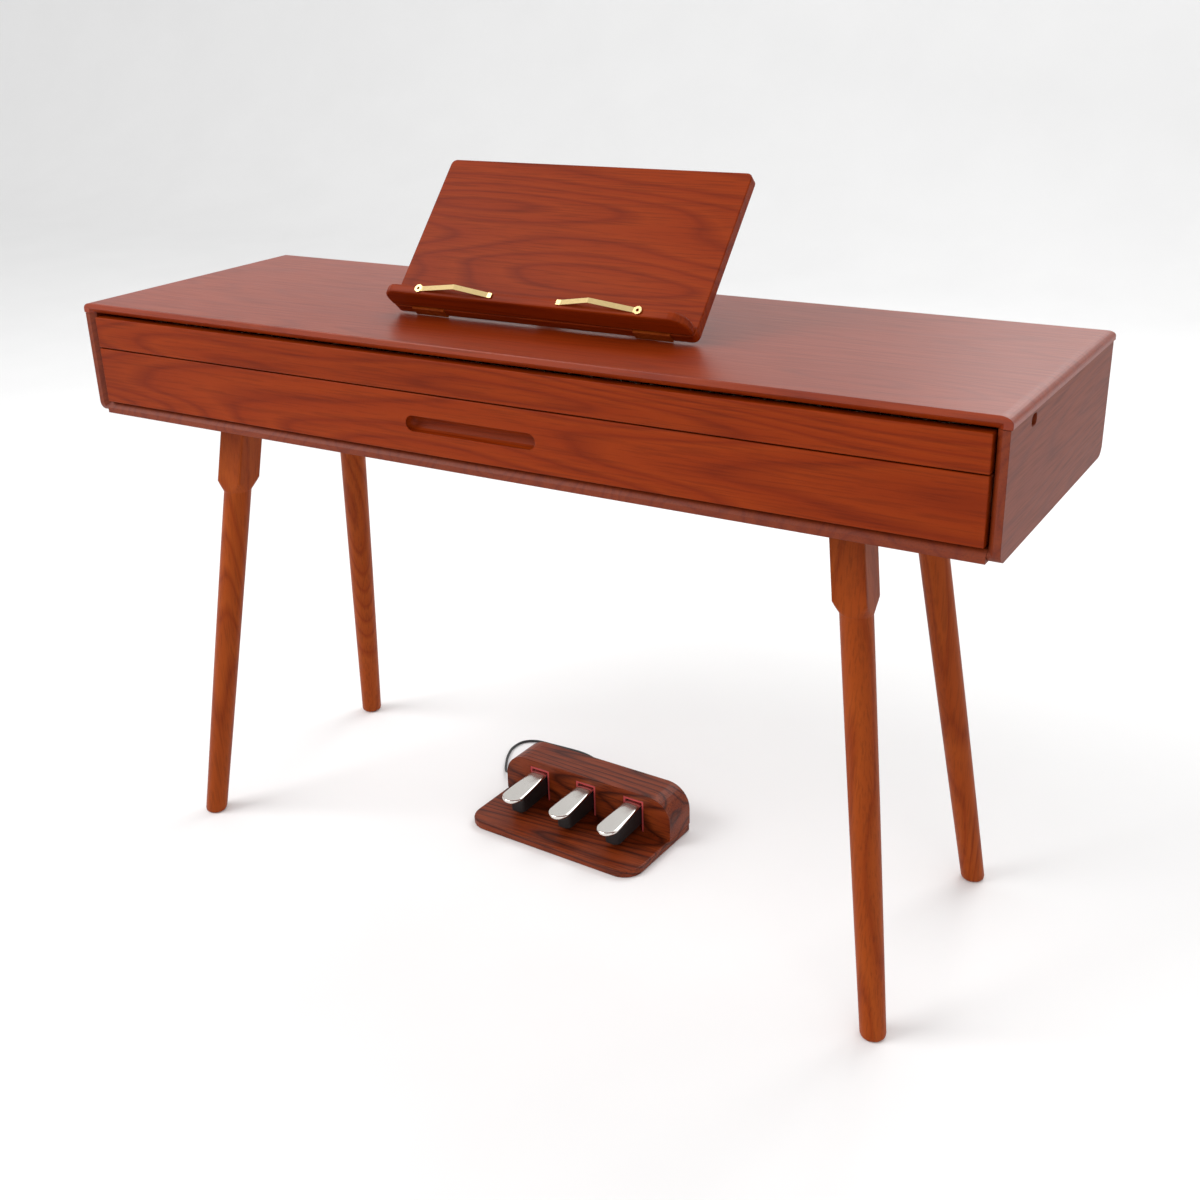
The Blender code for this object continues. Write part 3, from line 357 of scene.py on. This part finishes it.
# %% [markdown]
# ## Metals, plastics, felt and rubber
# Polished nickel shows faint fine scratches, brass a brushed satin, plated steel runners a soft
# mottle. Moulded keys and panels have a very fine texture. Felt is matt, with a soft sheen
# where it is seen at a slant.

# %% Other materials
ROUGH_SPREAD, ROUGH_LEAST = 0.06, 0.02
RELIEF_DEPTH = 0.0005


def finish(name, colour, metal=0.0, rough=0.4, vary=0.06, scale=220.0, bump=0.0,
           stretch=(1, 1, 1), extra=None):
    """One plain finish: colour and roughness wander a little with fine noise, colour by the
    share vary, and bump adds a relief from the same noise."""
    mat, nodes, link, shader = new_material(name)
    coords = nodes.new("ShaderNodeTexCoord").outputs["Object"]
    grain = noise(nodes, link, scaled(nodes, link, coords, stretch), scale, 3)
    deep = tuple(c * (1 - vary) for c in colour)
    pale = tuple(min(1.0, c * (1 + vary)) for c in colour)
    tint = ramp(nodes, [(0.3, deep), (0.7, pale)])
    link.new(grain.outputs["Fac"], tint.inputs["Fac"])
    link.new(tint.outputs["Color"], shader.inputs["Base Color"])
    least = max(ROUGH_LEAST, rough - ROUGH_SPREAD)
    span = spread(nodes, link, grain.outputs["Fac"], least, rough + ROUGH_SPREAD)
    link.new(span, shader.inputs["Roughness"])
    shader.inputs["Metallic"].default_value = metal
    if bump:
        raised = relief(nodes, link, grain.outputs["Fac"], bump, RELIEF_DEPTH)
        link.new(raised.outputs["Normal"], shader.inputs["Normal"])
    for socket, value in (extra or {}).items():
        shader.inputs[socket].default_value = value
    return mat


looks = {
    "nickel": finish("nickel", (0.74, 0.71, 0.67), 1.0, 0.16, 0.03, 90, stretch=(1, 12, 1)),
    "brass": finish("brass", (0.66, 0.49, 0.23), 1.0, 0.30, 0.06, 150, stretch=(1, 9, 9)),
    "steel": finish("runner_steel", (0.55, 0.56, 0.58), 1.0, 0.34, 0.10, 60),
    "ivory": finish("white_key", (0.80, 0.79, 0.75), 0.0, 0.28, 0.02, 40),
    "ebony": finish("black_key", (0.018, 0.018, 0.020), 0.0, 0.36, 0.10, 500, 0.1),
    "black": finish("black_plastic", (0.012, 0.011, 0.011), 0.0, 0.42, 0.15, 500, 0.12),
    "panel": finish("panel", (0.028, 0.028, 0.031), 0.0, 0.50, 0.12, 900, 0.25),
    "glass": finish("display_glass", (0.012, 0.028, 0.034), 0.0, 0.08, 0.05, 20, extra={"Coat Weight": 0.6}),
    "circuit": finish("circuit", (0.020, 0.110, 0.045), 0.0, 0.45, 0.25, 130),
    "cone": finish("speaker_cone", (0.035, 0.035, 0.036), 0.0, 0.80, 0.15, 300, 0.2),
    "felt": finish("felt", (0.42, 0.010, 0.008), 0.0, 0.95, 0.22, 900, 0.7, extra={"Sheen Weight": 0.6}),
    "rubber": finish("cord_rubber", (0.016, 0.016, 0.017), 0.0, 0.55, 0.12, 300, 0.1),
    "floor": finish("floor", (0.86, 0.86, 0.86), 0.0, 0.65, 0.01, 3),
}
room.data.materials.append(looks["floor"])
print("other finishes:", ", ".join(looks))

# %% [markdown]
# ## Dressing the frame
# Each part of the frame gets the finish that the photograph shows, or a likely one where the
# part is hidden. The grain runs across the piano on the front, top and flap, from front to back
# on the side panels, and down the legs.

# %% Dressing


def wear(mat, *names):
    """Puts one material on the named parts of the frame."""
    for name in names:
        data = NODES[name].data
        data.materials.clear()
        data.materials.append(mat)


def sides_of(*stems):
    """The left and right name of each paired part."""
    return [stem + end for stem in stems for end in ("_left", "_right")]


wear(woods["top"], "top_board")
wear(woods["side"], *sides_of("side_panel"), "bottom_board")
wear(woods["front"], "drawer_front", "stand_board", "stand_ledge")
wear(woods["flap"], "drawer_flap", *sides_of("cheek"))
wear(woods["leg"], *sides_of("leg_front", "leg_rear", "stand_foot"), "stand_prop")
wear(woods["unit"], "pedal_base", "pedal_housing")
wear(woods["plain"], "back_panel", "drawer_base", "drawer_back", "key_rail")
wear(looks["steel"], *sides_of("runner_outer", "runner_middle", "runner_inner"))
wear(looks["nickel"], "headphone_jack", "pedal_soft", "pedal_middle", "pedal_damper")
wear(looks["brass"], *sides_of("page_clip"))
for zone in range(1, 5):
    wear(looks["ivory"], "white_keys_%d" % zone)
    wear(looks["ebony"], "black_keys_%d" % zone)
wear(looks["black"], "lever_soft", "lever_middle", "lever_damper", "cord_plug")
wear(looks["black"], "power_button", "volume_knob", "function_button_1", "function_button_2")
wear(looks["panel"], "control_panel")
wear(looks["glass"], "display")
wear(looks["circuit"], "main_board")
wear(looks["cone"], *sides_of("speaker"))
wear(looks["felt"], "slot_felt")
wear(looks["rubber"], "pedal_cord", "cord_coil")
print("dressed nodes:", sum(1 for node in NODES.values() if node.data and node.data.materials))

# %% [markdown]
# ## Turned legs
# A leg starts as a square post. The turner leaves a square block at the top, cuts a rounded
# shoulder, then runs the tool down the shaft. One formula gives both: a superellipse whose
# exponent falls from a near square to a circle at the shoulder. Every ring is cut level.

# %% Leg profile
CASE_Z, LEG_TOP_Z = 0.656, 0.6557
SHOULDER_Z, NECK_Z = 0.556, 0.540
SHAFT_Z, TIP_Z = 0.5385, 0.0060
SQUARE, ROUND = 26.0, 2.0
# height of a ring, half its width, and the power of its superellipse
LEG_PROFILE = [
    (LEG_TOP_Z, 0.02200, SQUARE),
    (SHOULDER_Z, 0.02200, SQUARE),
    (0.5530, 0.02198, 9.0),
    (0.5490, 0.02185, 4.6),
    (0.5450, 0.02160, 3.0),
    (0.5415, 0.02130, 2.2),
    (NECK_Z, 0.02110, ROUND),
    (0.5390, 0.02030, ROUND),
    (0.4800, 0.02010, ROUND),
    (0.3000, 0.01920, ROUND),
    (0.1500, 0.01810, ROUND),
    (TIP_Z, 0.01680, ROUND),
    (0.0022, 0.01590, ROUND),
    (0.0006, 0.01440, ROUND),
    (0.0, 0.01260, ROUND),
]
HEIGHTS, WIDTHS, POWERS = np.array(LEG_PROFILE).T
TIP_RINGS = [TIP_Z, 0.0040, 0.0022, 0.0012, 0.0006, 0.0002, 0.0]
print("a leg is", round(2000 * WIDTHS[0], 1), "mm square on top and",
      round(2000 * WIDTHS[HEIGHTS == TIP_Z][0], 1), "mm thick at its tip")

# %% Legs
LEG_X, LEG_SPLAY = 0.475, 0.0895
# side of the piano, then y under the case and y at the floor
LEG_SPOTS = {
    "leg_front_left": (-1, -0.1195, -0.2015),
    "leg_front_right": (1, -0.1195, -0.2015),
    "leg_rear_left": (-1, 0.1145, 0.1955),
    "leg_rear_right": (1, 0.1145, 0.1955),
}


def leg(name, sign, y_top, y_foot):
    """Ring at height z: centre c(z) on a straight sloping line, x = c + w cos t / n(t),
    y = c + w sin t / n(t), with n(t) = (|cos t|^p + |sin t|^p)^(1/p)."""
    t = np.linspace(0, 2 * math.pi, 96, endpoint=False)
    block = np.linspace(LEG_TOP_Z, SHOULDER_Z, 8)[:-1]
    shoulder = np.linspace(SHOULDER_Z, SHAFT_Z, 24)[:-1]
    shaft = np.linspace(SHAFT_Z, TIP_Z, 30)[:-1]
    z = np.concatenate([block, shoulder, shaft, TIP_RINGS])
    w = np.interp(-z, -HEIGHTS, WIDTHS)
    p = np.interp(-z, -HEIGHTS, POWERS)
    c, s = np.abs(np.cos(t))[None, :], np.abs(np.sin(t))[None, :]
    reach = w[:, None] / (c ** p[:, None] + s ** p[:, None]) ** (1 / p[:, None])
    drop = (CASE_Z - z) / CASE_Z
    cx = sign * (LEG_X + LEG_SPLAY * drop)
    cy = y_top + (y_foot - y_top) * drop
    points = np.zeros((len(z) + 2, len(t), 3))
    points[1:-1, :, 0] = cx[:, None] + reach * np.cos(t)
    points[1:-1, :, 1] = cy[:, None] + reach * np.sin(t)
    points[1:-1, :, 2] = z[:, None]
    points[0] = (cx[0], cy[0], z[0])
    points[-1] = (cx[-1], cy[-1], z[-1])
    obj = outward(grid_mesh("turned_" + name, points, close_v=True))
    for face in obj.data.polygons:
        face.use_smooth = face.center.z <= SHOULDER_Z
    obj.data.materials.append(woods["leg"])
    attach(obj, "case")
    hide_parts(name)
    return obj


legs = [leg(name, *spot) for name, spot in LEG_SPOTS.items()]
print("legs:", len(legs), "with", len(legs[0].data.polygons), "faces each")

# %% [markdown]
# ## Pedals
# A real pedal is a flat spoon: a round treadle, a hollowed waist and a straight tongue that
# disappears into the felt slot. Each cross-section is a flattened superellipse, and a shallow
# dish is pressed into the waist from above. The unit stands a little turned on the floor, so
# its pieces are drawn square and then carried to their place.

# %% Pedal unit's place
UNIT_PLACE = Matrix.Translation((-0.018, 0.0325, 0)) @ Matrix.Rotation(math.radians(-2.8), 4, "Z")


def to_room(points):
    """Points of the pedal unit's own frame, carried to where the unit stands."""
    m = np.array(UNIT_PLACE)
    flat = points.reshape(-1, 3)
    return (flat @ m[:3, :3].T + m[:3, 3]).reshape(points.shape)


print("the unit stands at", [round(v, 4) for v in UNIT_PLACE.translation])

# %% Pedals
PEDAL_STEP = 0.089
NOSE_V, TREADLE_V, TAIL_V = -0.0618, -0.0440, 0.0598
TREADLE_R = 0.0178
# place along the pedal and half its width there
WAIST = [
    (TREADLE_V, TREADLE_R),
    (-0.034, 0.01765),
    (-0.016, 0.0166),
    (0.002, 0.0150),
    (0.020, 0.0138),
    (TAIL_V, 0.0138),
]
PEDAL_T = 0.0065
PEDAL_TOP_Z, PEDAL_TOP_V, PEDAL_SLOPE = 0.0602, 0.0256, 0.0857
EDGE_POWER, NOSE_ROUNDING = 3.4, 2.2
DISH_DEPTH, DISH_V, DISH_REACH = 0.0013, 0.004, 0.016


def pedal(title, u0):
    """v runs from nose to tail, t round the section: u = u0 + w(v) C(t), z = m(v) + h(v) S(t),
    where C and S are cosine and sine raised to the power 2 / EDGE_POWER with their sign kept,
    m(v) is a sloping line, w(v) a half circle and then the waist, h(v) half the thickness, and
    w and h fall to nothing at the tail. The dish lowers the upper side by a bell curve along v
    that fades towards the edges."""
    k = np.linspace(0, 1, 16)
    treadle = NOSE_V + (TREADLE_V - NOSE_V) * (1 - np.cos(k * math.pi / 2))
    v = np.concatenate([treadle, np.linspace(TREADLE_V, TAIL_V, 60)[1:]])
    on_treadle = v < TREADLE_V
    round_w = np.sqrt(np.clip(TREADLE_R ** 2 - (v - TREADLE_V) ** 2, 0, None))
    w = np.where(on_treadle, round_w, np.interp(v, *np.array(WAIST).T))
    w[-1] = 0.0
    h = np.full_like(v, PEDAL_T / 2)
    h = np.where(on_treadle, h * np.clip(round_w / TREADLE_R * NOSE_ROUNDING, 0, 1) ** 0.5, h)
    h[-1] = 0.0
    t = np.linspace(0, 2 * math.pi, 40, endpoint=False)
    curl = 2 / EDGE_POWER
    cos = np.sign(np.cos(t)) * np.abs(np.cos(t)) ** curl
    sin = np.sign(np.sin(t)) * np.abs(np.sin(t)) ** curl
    middle = PEDAL_TOP_Z + (v - PEDAL_TOP_V) * PEDAL_SLOPE - PEDAL_T / 2
    bell = DISH_DEPTH * np.exp(-((v - DISH_V) / DISH_REACH) ** 2)
    dish = bell[:, None] * np.clip(1 - np.abs(cos) ** 2, 0, 1) * (sin > 0)
    points = np.zeros((len(v), len(t), 3))
    points[..., 0] = u0 + w[:, None] * cos
    points[..., 1] = v[:, None]
    points[..., 2] = middle[:, None] + h[:, None] * sin - dish
    obj = outward(grid_mesh("spoon_" + title, to_room(points), close_v=True))
    obj.data.materials.append(looks["nickel"])
    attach(obj, title)
    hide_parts("pedal_" + title)
    return obj


spoons = [
    pedal("soft", -PEDAL_STEP),
    pedal("middle", 0.0),
    pedal("damper", PEDAL_STEP),
]
print("pedals:", ", ".join(spoon.name for spoon in spoons))

# %% [markdown]
# ## Pedal cord
# The thin cord leaves the left end of the unit, swings round on the floor behind it and ends
# in a small flat coil with the plug beside it, hidden behind the housing. The coil has three
# turns down on the inside and about two up on the outside, and no turn cuts another. The open
# run is a list of given points, and the coil's turns are worked out.

# %% Cord route
CORD_R = 0.0021
FLOOR_GAP = 0.0001
REST = CORD_R + FLOOR_GAP
COIL_AT = (0.003, 0.137)
INNER_R, OUTER_R = 0.0243, 0.0287
INNER_TOP_Z, TURN_RISE = 0.0151, 0.0043
INNER_FROM, INNER_TO = 225, 1305
OUTER_FROM, OUTER_TO = 1360, 2065
ANGLE_STEP = 15
EXIT_U, EXIT_V, EXIT_Z = -0.155, 0.064, 0.0200
PLUG_TAIL = (0.0480, 0.1110, 0.0068)


def around(angle, radius, z):
    """The point at an angle in degrees and a radius about the coil's middle."""
    a = math.radians(angle)
    return (COIL_AT[0] + radius * math.cos(a), COIL_AT[1] + radius * math.sin(a), z)


route = [
    (EXIT_U + 0.008, EXIT_V, EXIT_Z),
    (EXIT_U, EXIT_V, EXIT_Z),
    (EXIT_U - 0.010, EXIT_V, EXIT_Z - 0.0006),
    (EXIT_U - 0.026, EXIT_V + 0.004, 0.0115),
    (EXIT_U - 0.044, EXIT_V + 0.0135, REST + 0.0012),
    (EXIT_U - 0.0615, EXIT_V + 0.037, REST),
    (EXIT_U - 0.075, EXIT_V + 0.0605, REST),
    (EXIT_U - 0.0835, EXIT_V + 0.086, REST),
    (EXIT_U - 0.080, EXIT_V + 0.1115, REST),
    (EXIT_U - 0.061, EXIT_V + 0.1255, REST),
    (EXIT_U - 0.033, EXIT_V + 0.1285, REST),
    (EXIT_U - 0.005, EXIT_V + 0.1305, REST),
    (EXIT_U + 0.025, EXIT_V + 0.132, REST),
    (EXIT_U + 0.051, EXIT_V + 0.128, REST),
    (EXIT_U + 0.075, EXIT_V + 0.1175, REST),
    (EXIT_U + 0.096, EXIT_V + 0.106, REST + 0.001),
    (-0.0440, 0.1600, 0.0075),
]
route += [around(165, 0.0350, 0.0135), around(180, 0.0312, 0.0153), around(197, 0.0268, 0.0154)]
for angle in range(INNER_FROM, INNER_TO + 1, ANGLE_STEP):
    route.append(around(angle, INNER_R, INNER_TOP_Z - TURN_RISE * (angle - INNER_FROM) / 360))
route += [around(1322, 0.0255, REST), around(1341, 0.0275, REST)]
for angle in range(OUTER_FROM, OUTER_TO + 1, ANGLE_STEP):
    route.append(around(angle, OUTER_R, REST + TURN_RISE * (angle - OUTER_FROM) / 360))
route += [(0.0200, 0.1093, 0.0098), (0.0340, 0.1105, 0.0074), PLUG_TAIL]
print("cord route:", len(route), "points")

# %% Cord path
PATH_STEP = 0.0022


def spline(points, step):
    """Catmull-Rom through the points: between b and c it is half of
    2b + (c - a) t + (2a - 5b + 4c - d) t^2 + (3b - a - 3c + d) t^3, and it is then resampled
    so that neighbours lie one step apart."""
    p = np.array(points, dtype=float)
    p = np.vstack([2 * p[0] - p[1], p, 2 * p[-1] - p[-2]])
    t = np.linspace(0, 1, 30, endpoint=False)[:, None]
    parts = []
    for a, b, c, d in zip(p, p[1:], p[2:], p[3:]):
        bent = (2 * a - 5 * b + 4 * c - d) * t ** 2 + (3 * b - a - 3 * c + d) * t ** 3
        parts.append((2 * b + (c - a) * t + bent) / 2)
    fine = np.vstack(parts + [p[-2:-1]])
    run = np.concatenate([[0], np.cumsum(np.linalg.norm(np.diff(fine, axis=0), axis=1))])
    even = np.linspace(0, run[-1], int(round(run[-1] / step)) + 1)
    return np.stack([np.interp(even, run, fine[:, k]) for k in range(3)], -1)


cord_path = to_room(spline(route, PATH_STEP))

# %% Cord


def tube(name, path, radius, sides=12):
    """Rings of the given radius square to the path, each turned as little as possible from
    the one before, with a point at each end."""
    step = np.gradient(path, axis=0)
    step /= np.linalg.norm(step, axis=1)[:, None]
    normal = np.cross(step[0], (0, 0, 1.0))
    t = np.linspace(0, 2 * math.pi, sides, endpoint=False)
    points = np.zeros((len(path) + 2, sides, 3))
    for k, (place, ahead) in enumerate(zip(path, step)):
        normal = normal - ahead * normal.dot(ahead)
        normal /= np.linalg.norm(normal)
        across = np.cross(ahead, normal)
        points[k + 1] = place + radius * (np.cos(t)[:, None] * normal + np.sin(t)[:, None] * across)
    points[0], points[-1] = path[0], path[-1]
    return outward(grid_mesh(name, points, close_v=True))


cord = tube("pedal_cord_run", cord_path, CORD_R)
cord.data.materials.append(looks["rubber"])
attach(cord, "pedal_unit")
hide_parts("pedal_cord", "cord_coil")
print("cord with", len(cord.data.polygons), "faces")

# %% [markdown]
# ## Plug
# The cord ends in a straight moulded plug: a tapering sleeve that keeps the cord from kinking,
# a thicker grip and a short collar. It is round, so its profile is turned about its own axis.

# %% Plug
# distance from the tail and radius there
PLUG_PROFILE = [
    (0.0, 0.0), (0.0, 0.0026), (0.002, 0.0029), (0.010, 0.0033), (0.0165, 0.0036),
    (0.0168, 0.0052), (0.018, 0.0064), (0.020, 0.0066), (0.040, 0.0066), (0.042, 0.0062),
    (0.043, 0.0056), (0.0432, 0.0040), (0.0455, 0.0040), (0.0460, 0.0036), (0.0460, 0.0),
]


def turned(name, profile, tail, ahead, sides=40):
    """Profile points (distance along the axis, radius) turned about the axis through tail."""
    ahead = np.array(ahead) / np.linalg.norm(ahead)
    normal = np.cross(ahead, (0, 0, 1.0))
    normal /= np.linalg.norm(normal)
    across = np.cross(ahead, normal)
    t = np.linspace(0, 2 * math.pi, sides, endpoint=False)
    d, r = np.array(profile).T
    ring = np.cos(t)[:, None] * normal + np.sin(t)[:, None] * across
    points = np.array(tail) + d[:, None, None] * ahead + r[:, None, None] * ring[None]
    return outward(grid_mesh(name, points, close_v=True))


heading = to_room(np.array([[1.0, 0, 0], [0, 0, 0]]))
plug_tail = to_room(np.array([PLUG_TAIL]))[0]
plug = turned("plug_body", PLUG_PROFILE, plug_tail, heading[0] - heading[1])
plug.data.materials.append(looks["black"])
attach(plug, "pedal_unit")
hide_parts("cord_plug")
